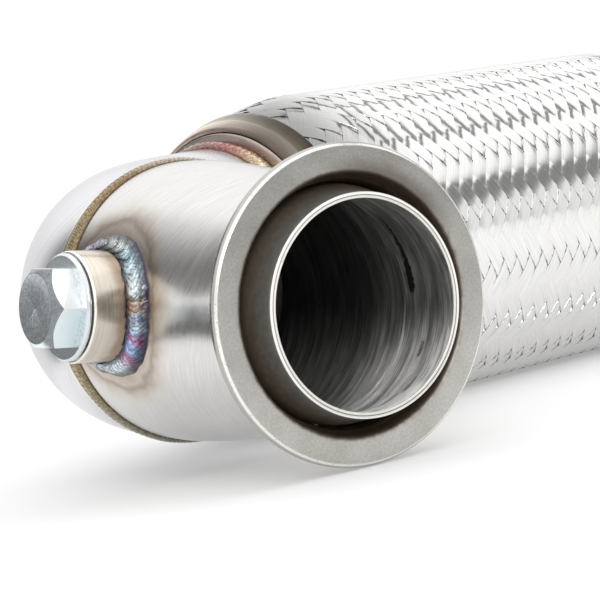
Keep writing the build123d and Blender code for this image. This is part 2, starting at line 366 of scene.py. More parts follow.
class Nodes:
    """A short hand for writing the node tree of a material or of the world."""

    def __init__(self, owner: str | bpy.types.World) -> None:
        """Starts the world's empty tree, or a new material's tree with its shader.

        Args:
            owner: the world, or the new material's name.
        """
        named = isinstance(owner, str)
        self.owner = bpy.data.materials.new(owner) if named else owner
        self.owner.use_nodes = True
        self.tree = self.owner.node_tree
        self.tree.nodes.clear()
        if named:
            self.shader = self.add("ShaderNodeBsdfPrincipled")
            output = self.add("ShaderNodeOutputMaterial")
            self.link(self.shader.outputs[0], output.inputs["Surface"])

    def add(self, kind: str, **settings: object) -> bpy.types.Node:
        """Adds a node and sets its properties.

        Args:
            kind: the node's type.
            settings: the node's properties.

        Returns:
            The node.
        """
        node = self.tree.nodes.new(kind)
        for name, value in settings.items():
            setattr(node, name, value)
        return node

    def link(self, source: object, target: bpy.types.NodeSocket) -> None:
        """Feeds a socket from a value or a socket, or sets it to a plain value.

        Args:
            source: what feeds it, or None to leave it alone.
            target: the input socket.
        """
        if isinstance(source, Value):
            source = source.socket
        if isinstance(source, bpy.types.NodeSocket):
            self.tree.links.new(source, target)
        elif source is not None:
            target.default_value = (*source, 1.0) if target.type == "RGBA" else source

    def value(
        self, kind: str, feeds: dict, output: int | str = 0, **settings: object
    ) -> Value:
        """Adds a node and hands over one of its outputs.

        Args:
            kind: the node's type.
            feeds: what each input socket gets, by name or number.
            output: the output socket's name or number.
            settings: the node's properties.

        Returns:
            The output's value.
        """
        node = self.add(kind, **settings)
        for socket, source in feeds.items():
            self.link(source, node.inputs[socket])
        return Value(self, node.outputs[output])

    def bench(self) -> Value:
        """The surface's place on the bench, in millimetres."""
        return self.value("ShaderNodeAttribute", {}, "Vector", attribute_name=BENCH)

    def number(self, name: str) -> Value:
        """A number stored on the surface."""
        return self.value("ShaderNodeAttribute", {}, "Fac", attribute_name=name)

    def maths(self, operation: str, *values: object) -> Value:
        """A Math node's result."""
        return self.value("ShaderNodeMath", dict(enumerate(values)), operation=operation)

    def most(self, first: Value, *others: Value) -> Value:
        """The greatest of some numbers.

        Args:
            first: the first number.
            others: the other numbers.

        Returns:
            The greatest.
        """
        for other in others:
            first = self.maths("MAXIMUM", first, other)
        return first

    def degrees(self, y: Value, x: Value) -> Value:
        """The direction of (x, y), in degrees."""
        return self.maths("ARCTAN2", y, x) * DEGREES

    def split(self, vector: Value) -> tuple[Value, ...]:
        """The three numbers of a vector.

        Args:
            vector: the vector.

        Returns:
            The numbers.
        """
        node = self.add("ShaderNodeSeparateXYZ")
        self.link(vector, node.inputs[0])
        return tuple(Value(self, socket) for socket in node.outputs)

    def join(self, x: object, y: object, z: object) -> Value:
        """A vector of three numbers."""
        return self.value("ShaderNodeCombineXYZ", {0: x, 1: y, 2: z})

    def vector(self, operation: str, *values: object) -> Value:
        """A Vector Math node's result.

        Args:
            operation: the node's operation.
            values: what the node takes in.

        Returns:
            The node's result.
        """
        output = "Value" if operation in ("LENGTH", "DOT_PRODUCT") else "Vector"
        feeds = dict(enumerate(values))
        return self.value("ShaderNodeVectorMath", feeds, output, operation=operation)

    def length(self, x: Value, y: Value) -> Value:
        """The length of (x, y)."""
        return self.vector("LENGTH", self.join(x, y, 0.0))

    def noise(
        self, at: Value, scale: float, detail: float = 3.0, rough: float = 0.55
    ) -> Value:
        """A noise value from 0 to 1 at a place."""
        feeds = {"Vector": at, "Scale": scale, "Detail": detail, "Roughness": rough}
        return self.value("ShaderNodeTexNoise", feeds, "Fac")

    def streaks(
        self, at: Value, fine: tuple, detail: float = 4.0, rough: float = 0.7
    ) -> Value:
        """A stretched noise, as fine along X, Y and Z as the three numbers say."""
        return self.noise(self.vector("MULTIPLY", at, fine), 1.0, detail, rough)

    def ramp(self, value: Value, stops: tuple) -> Value:
        """A colour that follows a value through (position, colour) stops.

        Args:
            value: what the colour follows.
            stops: the positions and their colours.

        Returns:
            The colour.
        """
        node = self.add("ShaderNodeValToRGB")
        band = node.color_ramp
        while len(band.elements) < len(stops):
            band.elements.new(0.5)
        for element, (position, colour) in zip(band.elements, stops):
            element.position = position
            element.color = (*colour, 1.0)
        self.link(value, node.inputs[0])
        return Value(self, node.outputs["Color"])

    def mix(self, share: object, first: object, second: object, blend: str = "MIX") -> Value:
        """A mix of two colours."""
        feeds = {0: share, 6: first, 7: second}
        return self.value("ShaderNodeMix", feeds, 2, data_type="RGBA", blend_type=blend)

    def tone(self, colour: object, shade: object) -> Value:
        """A colour made lighter or darker by a number."""
        return self.mix(1.0, colour, self.join(shade, shade, shade), "MULTIPLY")

    def bump(
        self, height: Value, distance: float, strength: float, base: Value | None = None
    ) -> Value:
        """A bump from a height, over an earlier bump if there is one."""
        feeds = {"Strength": strength, "Distance": distance, "Height": height, "Normal": base}
        return self.value("ShaderNodeBump", feeds)

    def grain(self, way: Grain, fine: float, turn_rate: float = 0.055) -> Value:
        """A streaky noise that follows the way of the brushing on a pipe.

        Args:
            way: the way that the marks run.
            fine: how many streaks fit in a millimetre, roughly.
            turn_rate: how fast a slanting mark turns, in radians a millimetre.

        Returns:
            A value from 0 to 1.
        """
        at = self.bench()
        if way is Grain.ROUND:
            return self.streaks(at, (0.05, 0.05, fine))
        x, y, z = self.split(at)
        feeds = {"Vector": self.join(x, y, 0.0), "Angle": z * turn_rate}
        wound = self.value("ShaderNodeVectorRotate", feeds, rotation_type="Z_AXIS")
        at = self.vector("ADD", wound, self.join(0.0, 0.0, z))
        return self.streaks(at, (fine, fine, 0.05))

    def bore(self) -> tuple[Value, Value, Value]:
        """The look of a pipe's inside: dull metal with scored marks round it, and painted light
        that darkens one side and lightens the other.

        Returns:
            The colour, the height of its marks and the direction round the pipe
            from the side away from the sensor boss, in degrees.
        """
        x, y, z = self.split(self.bench())
        back = self.degrees(-y, -x)
        skew = z + back * 0.05
        marks = self.noise(self.join(back * 0.018, skew, self.length(x, y)), 1.3, 6.0, 0.72)
        slow = self.noise(self.join(back * 0.035, skew * 0.22, 3.0), 1.0)
        colour = self.tone((0.5, 0.495, 0.485), marks.remap(0.32, 0.68, 0.45, 1.4))
        colour = self.tone(colour, slow.remap(0.3, 0.7, 0.6, 1.35))
        # painted light: darker toward one side of the bore, up to 2.5 times lighter toward the
        # other
        colour = self.tone(colour, back.remap(8.0, 46.0, 0.55, 2.5))
        return colour, marks, back

    def finish(
        self,
        colour: object,
        roughness: object,
        normal: Value | None = None,
        metallic: object = 1.0,
    ) -> Material:
        """Wires the shader and hands over the material.

        Args:
            colour: the base colour.
            roughness: how rough it is.
            normal: its bump, if it has one.
            metallic: how metallic it is.

        Returns:
            The material.
        """
        names = ("Base Color", "Roughness", "Normal", "Metallic")
        for name, source in zip(names, (colour, roughness, normal, metallic)):
            self.link(source, self.shader.inputs[name])
        return self.owner


@dataclass(frozen=True)
class PipeSteel:
    """Brushed stainless pipe, with heat tints beside its welds.

    A seam is (depth, reach) on the bench's axis. The boss is the place where the
    sensor boss's axis leaves the pipe's, and its direction. Between two depths on
    the inside the bore darkens as painted shade, deeper in the pipe, and it stays
    dark past the second; the inside also carries the bore's painted light.
    """

    name: str
    colour: tuple = (0.76, 0.75, 0.735)
    seams: tuple = ()
    boss: tuple | None = None
    rough: float = 0.11
    groove: float = 0.00002
    bore_shade: tuple = (22.0, 48.0)

    def build(self) -> Material:
        """Builds the material.

        Returns:
            The material.
        """
        n = Nodes(self.name)
        at = n.bench()
        z = n.split(at)[2]
        streaks = n.grain(Grain.SLANT, 1.7)
        fine = n.grain(Grain.SLANT, 4.0, 0.06)
        clouds = n.noise(at, 0.05)
        colour = n.tone(self.colour, streaks.remap(0.3, 0.7, 0.86, 1.05))
        colour = n.tone(colour, fine.remap(0.3, 0.7, 0.93, 1.03))
        rough = streaks * 0.16 + self.rough + clouds * 0.06
        for depth, reach in self.seams:
            off = abs(z - depth)
            colour = n.mix(off.window(3.1, 3.6, 0.15), colour, (0.2, 0.14, 0.1))
            colour = n.mix(off.window(3.8, 4.2, 0.15), colour, (0.92, 0.9, 0.86))
            wobble = n.noise(at, 0.12) * reach
            colour = self.tinted(n, colour, (off + wobble * 0.9) / (reach * 2.0), 0.6)
        if self.boss is not None:
            origin, way = self.boss
            from_origin = n.vector("SUBTRACT", at, origin)
            along = n.vector("DOT_PRODUCT", from_origin, way)
            foot = n.vector("MULTIPLY", way, n.join(along, along, along))
            out = n.vector("LENGTH", n.vector("SUBTRACT", from_origin, foot))
            out = out - 18.0 + n.noise(at, 0.16, 4.0) * 5.0
            colour = self.tinted(n, colour, out / 15.0, 0.9)
        bump = n.bump(streaks, self.groove, 0.6)
        bump = n.bump(clouds, 0.0003, 0.2, bump)
        inner = n.number("inner")
        bore, marks, _ = n.bore()
        # painted shade: the inside darkens between two depths, deeper in the pipe
        bore = n.tone(bore, z.remap(*self.bore_shade, 1.0, 0.3))
        bump = n.bump(marks * inner, 0.00035, 0.8, bump)
        return n.finish(n.mix(inner, colour, bore), rough + inner * 0.3, bump, 1.0 - inner * 0.6)

    def tinted(self, n: Nodes, colour: Value, away: Value, strength: float) -> Value:
        """Lays straw and brown heat colours over the metal near a weld.

        Args:
            n: the node tree.
            colour: the metal's colour.
            away: 0 at the weld and 1 where the tint ends.
            strength: how strong the tint is at its deepest.

        Returns:
            The tinted colour.
        """
        stops = (
            (0.0, (0.20, 0.15, 0.12)),
            (0.2, (0.42, 0.35, 0.28)),
            (0.33, (0.50, 0.43, 0.36)),
            (0.42, (0.26, 0.18, 0.12)),
            (0.52, (0.44, 0.34, 0.25)),
            (0.7, (0.62, 0.54, 0.45)),
            (1.0, (0.76, 0.75, 0.73)),
        )
        return n.mix(away.remap(0.2, 1.0, strength, 0.0), colour, n.ramp(away, stops))


@dataclass(frozen=True)
class TurnedSteel:
    """Plain turned or pressed metal with fine marks round its axis."""

    name: str
    colour: tuple
    rough: float
    fine: float = 6.0
    mottle: float = 0.1
    dirt: tuple = (0.3, 0.24, 0.19)

    def build(self) -> Material:
        """Builds the material.

        Returns:
            The material.
        """
        n = Nodes(self.name)
        streaks = n.grain(Grain.ROUND, self.fine)
        blots = n.noise(n.bench(), 0.22, 6.0, 0.65).remap(0.5, 0.8, 0.0, self.mottle)
        colour = n.mix(blots, self.colour, self.dirt)
        colour = n.tone(colour, streaks.remap(0.2, 0.8, 0.92, 1.05))
        rough = streaks * 0.12 + self.rough + blots * 0.5
        return n.finish(colour, rough, n.bump(streaks, 0.00001, 0.4))


class BeadTint(Enum):
    """The heat colours round a bead, as (share of a turn, colour) stops."""

    BRONZE = (
        (0.0, (0.42, 0.31, 0.17)),
        (0.1, (0.5, 0.4, 0.24)),
        (0.18, (0.36, 0.25, 0.13)),
        (0.25, (0.6, 0.5, 0.38)),
        (0.3, (0.7, 0.62, 0.52)),
        (0.5, (0.42, 0.31, 0.17)),
        (0.7, (0.5, 0.45, 0.32)),
        (0.8, (0.46, 0.45, 0.36)),
        (0.9, (0.44, 0.38, 0.24)),
        (1.0, (0.42, 0.31, 0.17)),
    )
    ROSE_TO_GOLD = (
        (0.0, (0.5, 0.4, 0.22)),
        (0.2, (0.4, 0.3, 0.2)),
        (0.5, (0.5, 0.4, 0.3)),
        (0.7, (0.55, 0.45, 0.43)),
        (0.75, (0.5, 0.3, 0.28)),
        (0.79, (0.5, 0.2, 0.2)),
        (0.83, (0.66, 0.48, 0.34)),
        (0.87, (0.9, 0.8, 0.56)),
        (0.93, (0.66, 0.54, 0.28)),
        (1.0, (0.5, 0.4, 0.22)),
    )
    OXIDE = (
        (0.0, (0.3, 0.3, 0.34)),
        (0.14, (0.36, 0.44, 0.52)),
        (0.22, (0.4, 0.44, 0.48)),
        (0.3, (0.76, 0.88, 0.94)),
        (0.355, (0.42, 0.2, 0.34)),
        (0.375, (0.36, 0.46, 0.66)),
        (0.4, (0.34, 0.44, 0.68)),
        (0.42, (0.48, 0.17, 0.32)),
        (0.437, (0.42, 0.5, 0.7)),
        (0.455, (0.6, 0.72, 0.82)),
        (0.475, (0.36, 0.42, 0.62)),
        (0.487, (0.86, 0.84, 0.76)),
        (0.498, (0.52, 0.32, 0.28)),
        (0.508, (0.74, 0.7, 0.58)),
        (0.517, (0.26, 0.2, 0.14)),
        (0.53, (0.86, 0.96, 1.0)),
        (0.59, (0.7, 0.84, 0.92)),
        (0.64, (0.4, 0.55, 0.64)),
        (0.68, (0.62, 0.66, 0.64)),
        (0.74, (0.4, 0.44, 0.42)),
        (0.79, (0.3, 0.25, 0.38)),
        (0.85, (0.5, 0.6, 0.7)),
        (1.0, (0.3, 0.3, 0.34)),
    )


@dataclass(frozen=True)
class WeldMetal:
    """A weld bead's metal: oxide colours round the bead, with dark ripple lines, and painted
    light: lighter along the crown and darker on the flanks.
    """

    name: str
    tint: BeadTint
    rough: float = 0.26
    outline: tuple = (0.06, 0.05, 0.08)
    line: float = 0.8
    crescents: float = 3.0
    shade: float = 0.8
    toe_start: float = 0.82
    flank_shade: float = 0.8

    def build(self) -> Material:
        """Builds the material.

        Returns:
            The material.
        """
        n = Nodes(self.name)
        at = n.bench()
        coin, toe = n.number("coin"), n.number("toe")
        x, y, _ = n.split(at)
        turn = (n.maths("ARCTAN2", y, x) / FULL_TURN + 1.0).fract()
        colour = n.ramp(turn + (n.noise(at, 0.5, 4.0) - 0.5) * 0.05, self.tint.value)
        fine = (coin * self.crescents).fract()
        specks = n.noise(at, 1.3, 4.0, 0.7).remap(0.32, 0.68, 0.6, 1.35)
        # painted highlight and shade: lighter along the bead's crown, darker toward its flanks
        flank_shade = toe.remap(0.25, 0.8, 1.12, self.flank_shade)
        for shade in (fine.remap(0.0, 0.7, 0.62, 1.2), flank_shade, specks, self.shade):
            colour = n.tone(colour, shade)
        patchy = n.noise(at, 0.45).remap(0.3, 0.6, 0.35, 1.0)
        seam = coin.window(0.86, 1.2, 0.05) * self.line
        colour = n.mix(seam * patchy, colour, self.outline)
        colour = n.mix(toe.remap(self.toe_start, 1.0), colour, self.outline)
        rough = n.noise(at, 0.9).remap(0.3, 0.7, self.rough - 0.1, self.rough + 0.1)
        bump = n.bump(n.noise(at, 1.2, 4.0), 0.0002, 0.7)
        return n.finish(colour, rough, n.bump(fine, 0.0001, 0.7, bump))


@dataclass(frozen=True)
class FlangeSteel:
    """Dull flange metal with a bright rim and a stained mouth, and painted light: the face
    lighter toward the bottom, a painted shadow by the top of the mouth, painted shade deeper in
    the mouth and a painted highlight stripe there.
    """

    name: str
    rim_start: float
    mouth_radius: float

    def build(self) -> Material:
        """Builds the material.

        Returns:
            The material.
        """
        n = Nodes(self.name)
        at = n.bench()
        x, y, z = n.split(at)
        out = n.length(x, y)
        blots = n.noise(at, 0.3, 6.0, 0.65)
        cloud = n.noise(at, 0.07).remap(0.3, 0.7)
        colour = n.mix(cloud, (0.485, 0.475, 0.445), (0.41, 0.4, 0.37))
        colour = n.tone(colour, n.noise(at, 1.5, 4.0, 0.7).remap(0.3, 0.7, 0.87, 1.1))
        # painted light: the face lighter toward the bottom and darker toward the top
        colour = n.tone(colour, y.remap(-36.0, 36.0, 1.22, 0.86))
        stain = out - self.mouth_radius + blots * 3.0
        colour = n.mix(stain.remap(1.0, 2.6, 0.85, 0.0), colour, (0.2, 0.15, 0.115))
        shadow = n.degrees(y, x).window(92.0, 148.0, 14.0) * stain.remap(2.0, 6.5, 0.8, 0.0)
        colour = n.mix(shadow, colour, (0.16, 0.135, 0.12))
        # painted shade: the mouth's wall darkens deeper in
        deep = z.remap(0.4, 2.2) * (out < self.mouth_radius + 0.1)
        colour = n.mix(deep, colour, (0.17, 0.13, 0.1))
        # painted highlight: a paler stripe across the mouth's wall
        colour = n.mix(deep * z.window(3.6, 4.6, 0.5) * 0.4, colour, (0.5, 0.42, 0.36))
        edge = out + (blots - 0.5) * 0.35
        rim = edge.remap(self.rim_start - 0.12, self.rim_start + 0.08)
        bright = n.mix(z.remap(0.45, 0.7), (0.9, 0.89, 0.86), (0.46, 0.44, 0.41))
        colour = n.mix(rim, colour, bright)
        nicks = n.noise(at, 0.9, 5.0, 0.7).remap(0.56, 0.66) * rim
        colour = n.mix(nicks * 0.5, colour, (0.42, 0.36, 0.3))
        rough = blots.remap(0.3, 0.7, 0.42, 0.52) - rim * 0.22
        return n.finish(colour, rough, n.bump(n.noise(at, 1.2, 5.0, 0.7), 0.00005, 0.5))


@dataclass(frozen=True)
class SleeveSteel:
    """Grey sleeve metal: dull outside, brushed and scorched inside with the bore's painted
    light, bright at the lip with painted highlights on its rounded edges and painted shade in
    its groove.

    The burn lies over the hidden inner bead. Each spot is (degrees round, depth).
    """

    name: str
    proud: float
    lip_middle: float
    burn_depth: float = 16.0
    spots: tuple = ((68.0, 4.5), (33.0, 8.5), (58.0, 1.5))

    def build(self) -> Material:
        """Builds the material.

        Returns:
            The material.
        """
        n = Nodes(self.name)
        at = n.bench()
        x, y, z = n.split(at)
        out = n.length(x, y)
        inside = out < z.remap(-0.5, 6.5, 27.2, 29.6)
        inner, streaks, back = n.bore()
        outer = n.mix(z.remap(-1.5, 2.5), (0.28, 0.27, 0.248), (0.29, 0.25, 0.2))
        outer = n.tone(outer, n.noise(at, 0.5, 5.0, 0.65).remap(0.3, 0.7, 0.88, 1.12))
        ragged = (n.noise(at, 0.6, 5.0, 0.75) - 0.5) * 3.6
        burn = abs(z - self.burn_depth + ragged) < back.remap(-44.0, -6.0, 0.25, 1.25)
        burn = burn * back.window(-44.0, 3.0, 1.0)
        line = z.window(self.burn_depth - 0.2, self.burn_depth + 0.1, 0.15)
        line = line * back.window(3.0, 50.0, 6.0)
        inner = n.mix(n.most(burn, line * 0.7), inner, (0.02, 0.017, 0.015))
        for middle, depth in self.spots:
            far = n.length((back - middle) * 0.13, (z - depth) * 0.75)
            far = far + n.noise(at, 0.5, 5.0, 0.75) * 2.6
            inner = n.mix(far.remap(1.5, 2.5, 0.8, 0.0), inner, (0.06, 0.05, 0.045))
        # painted highlights: the lip's outer and inner rounded edges painted white and cream
        lip = z.remap(0.35 - self.proud, 0.65 - self.proud, 1.0, 0.0)
        groove = abs(out - self.lip_middle).remap(0.08, 0.2, 1.0, 0.0)
        bright = n.mix(out < self.lip_middle, (0.95, 0.95, 0.94), (0.85, 0.82, 0.75))
        # painted shade: a dark line in the groove between the lip's two edges
        bright = n.mix(groove, bright, (0.3, 0.28, 0.26))
        colour = n.mix(lip, n.mix(inside, outer, inner), bright)
        bump = n.bump(streaks * inside, 0.00035, 0.8)
        return n.finish(colour, 0.5 - lip * 0.24, bump, 0.85 - inside * 0.35)


@dataclass
class SubAssembly:
    """A group of pieces, each shaped on the bench and carried to its seat."""

    layout: Layout

    def dressed(
        self, piece: Piece, material: Material, seat: Seat, sharp: float = 30.0
    ) -> Piece:
        """Shades a shaped piece, gives it its look and carries it to its seat.

        Args:
            piece: the piece, on the bench.
            material: its look.
            seat: its place on the part.
            sharp: the angle over which an edge stays sharp, in degrees.

        Returns:
            The piece.
        """
        if BENCH not in piece.data.attributes:
            keep_bench(piece, points_of(piece))
        make_active(piece)
        bpy.ops.object.shade_smooth_by_angle(angle=math.radians(sharp))
        piece.data.materials.append(material)
        piece.data.transform(seat.matrix())
        piece.data.update()
        return piece

    def listed(self, piece: Piece, node: str, slot: str, body: str = "inlet_side") -> Piece:
        """Attaches a piece to its body and hides the CAD node that it replaces.

        Args:
            piece: the dressed piece.
            node: the CAD node that it replaces.
            slot: the record's material slot; not used.
            body: the body that it rides on.

        Returns:
            The piece.
        """
        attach(piece, body)
        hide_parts(node)
        return piece


    def bead(self, bead: "RoundBead", seat: Seat, node: str, body: str = "inlet_side") -> Piece:
        """Lays a bead on its seat, dresses it and lists it."""
        piece = self.dressed(bead.lay(), bead.metal(), seat, 50)
        return self.listed(piece, node, "weld_bead", body)


@dataclass(frozen=True)
class RoundBead:
    """A rippled weld bead round a pipe, in millimetres."""

    name: str
    radius: float
    seed: int
    tint: BeadTint = BeadTint.ROSE_TO_GOLD
    width: float = 6.0
    height: float = 2.2
    pitch: float = 2.4
    outline: tuple = (0.2, 0.1, 0.07)
    line: float = 0.5
    gap: float = 0.02
    root: float = 0.05
    rows: int = 11

    def lay(self) -> Piece:
        """Lays the bead on the bench, centred on its origin.

        Returns:
            The bead, with the place in each ripple and the nearness to its toes
            stored for its metal.
        """
        base = self.radius + self.gap
        corners = [
            (base + self.height * (1 - abs(share) ** 2.4), share * self.width / 2)
            for share in np.linspace(-1, 1, self.rows)
        ]
        piece = turned(self.name, [*corners, (self.radius - self.root, 0.0)], steps=720)
        at = points_of(piece)
        angle = np.arctan2(at[:, 1], at[:, 0])
        out = np.hypot(at[:, 0], at[:, 1])
        share = at[:, 2] / (self.width / 2)
        top = np.clip((out - self.radius) / self.height, 0, 1)
        drift = waves(self.seed, 5, 3, 17)(angle)
        rings = round(FULL_TURN * self.radius / self.pitch)
        saw = (rings * angle / FULL_TURN + 1.3 * share**2 + 0.6 * drift) % 1.0
        dip = 1 - (1 - saw) ** 0.7
        slow = waves(self.seed + 1, 6, 5, 31)(angle)
        out = out - top * self.height * (0.24 * dip + 0.06 * (1 + slow))
        fringe = waves(self.seed + 2, 7, 9, 60)(angle)
        edge = 1 - 0.04 * (1 + fringe) - 0.05 * dip
        put_points(piece, ringed(angle, out, at[:, 2] * edge))
        keep_number(piece, "coin", saw)
        keep_number(piece, "toe", np.abs(share))
        return piece

    def metal(self) -> Material:
        """The bead's metal."""
        name = f"{self.name}_metal"
        return WeldMetal(name, self.tint, outline=self.outline, line=self.line).build()


@dataclass
class Inlet(SubAssembly):
    """The clamp flange, the sleeve inside it and the beads behind them."""

    flange_radius: float = 40.5
    rim_thickness: float = 2.2
    rim_chamfer: float = 1.0
    rim_round: float = 0.25
    back_radius: float = 35.1
    back_depth: float = 4.165
    back_round: float = 1.6
    mouth_radius: float = 33.1
    mouth_depth: float = 7.0
    mouth_round: float = 0.9
    throat_round: float = 2.0
    neck_wall: float = 1.7
    sleeve_radius: float = 28.0
    sleeve_wall: float = 1.6
    sleeve_proud: float = 5.7
    sleeve_length: float = 19.5
    sleeve_play: float = 0.25
    lip_round: float = 0.35
    lip_groove: float = 0.22
    flare_depth: float = 6.0
    flare_round: float = 3.0
    bead_start: float = 19.6
    bead_end: float = 22.0
    bead_radii: tuple = (30.75, 31.0)

    def build(self) -> list[Piece]:
        """Builds its pieces."""
        return [self.flange(), self.sleeve(), self.neck_bead(), self.inner_bead()]

    def seated(self, piece: Piece, material: Material, node: str, slot: str) -> Piece:
        """Dresses a piece on the inlet's seat and lists it."""
        return self.listed(self.dressed(piece, material, self.layout.inlet), node, slot)

    def skirt(self) -> float:
        """The outer radius of the sleeve's skirt, inside the neck."""
        return self.layout.neck_radius - self.neck_wall - self.sleeve_play

    def flange(self) -> Piece:
        """Turns the flared clamp ring.

        Returns:
            The piece.
        """
        neck, length = self.layout.neck_radius, self.layout.neck_length
        bore = neck - self.neck_wall
        face = self.flange_radius - self.rim_chamfer
        outline = [
            (self.mouth_radius, 0, self.mouth_round),
            (face, 0, self.rim_round),
            (self.flange_radius, self.rim_chamfer, self.rim_round),
            (self.flange_radius, self.rim_thickness, self.rim_round),
            (self.back_radius, self.back_depth),
            (neck, self.back_depth, self.back_round),
            (neck, length),
            (bore, length),
            (bore, self.mouth_depth, self.throat_round),
        ]
        piece = turned("flange_ring", outline, steps=256)
        steel = FlangeSteel("flange_face_steel", face, self.mouth_radius).build()
        return self.seated(piece, steel, "inlet_flange", "flange_steel")

    def sleeve(self) -> Piece:
        """Turns the inner sleeve, with a doubled lip.

        Returns:
            The piece.
        """
        skirt, wall, proud = self.skirt(), self.sleeve_wall, self.sleeve_proud
        bore = self.sleeve_radius - wall
        middle = self.sleeve_radius - wall / 2
        outline = [
            (bore, -proud, self.lip_round),
            (middle, -proud + self.lip_groove),
            (self.sleeve_radius, -proud, self.lip_round),
            (self.sleeve_radius, 0, self.flare_round),
            (skirt, self.flare_depth, self.flare_round),
            (skirt, self.sleeve_length),
            (skirt - wall, self.sleeve_length),
            (skirt - wall, self.flare_depth + wall / 2, self.flare_round),
            (bore, wall / 2, self.flare_round),
        ]
        piece = turned("sleeve_tube", outline, steps=256)
        steel = SleeveSteel("sleeve_grey_steel", proud, middle).build()
        return self.seated(piece, steel, "inlet_sleeve", "sleeve_steel")

    def neck_bead(self) -> Piece:
        """Lays the bead between the neck and the reducer.

        Returns:
            The piece.
        """
        bead = RoundBead(
            "neck_bead",
            self.layout.neck_radius,
            seed=11,
            tint=BeadTint.BRONZE,
            width=5.0,
            height=1.2,
            pitch=1.6,
            outline=(0.06, 0.05, 0.08),
            line=0.8,
        )
        seat = self.layout.inlet.shifted(self.layout.neck_length)
        return self.bead(bead, seat, "inlet_flange_weld")

    def inner_bead(self) -> Piece:
        """Lays the burnt inner bead that ties the sleeve's end to the reducer.

        Returns:
            The piece.
        """
        low = self.skirt() - self.sleeve_wall / 2
        near, far = self.bead_radii
        outline = [(low, self.bead_start), (near, self.bead_start), (far, self.bead_end)]
        piece = turned("inner_bead", outline, steps=240)
        burnt = TurnedSteel("burnt_bead", (0.1, 0.085, 0.075), 0.49, fine=1.0).build()
        return self.seated(piece, burnt, "sleeve_weld", "weld_bead")


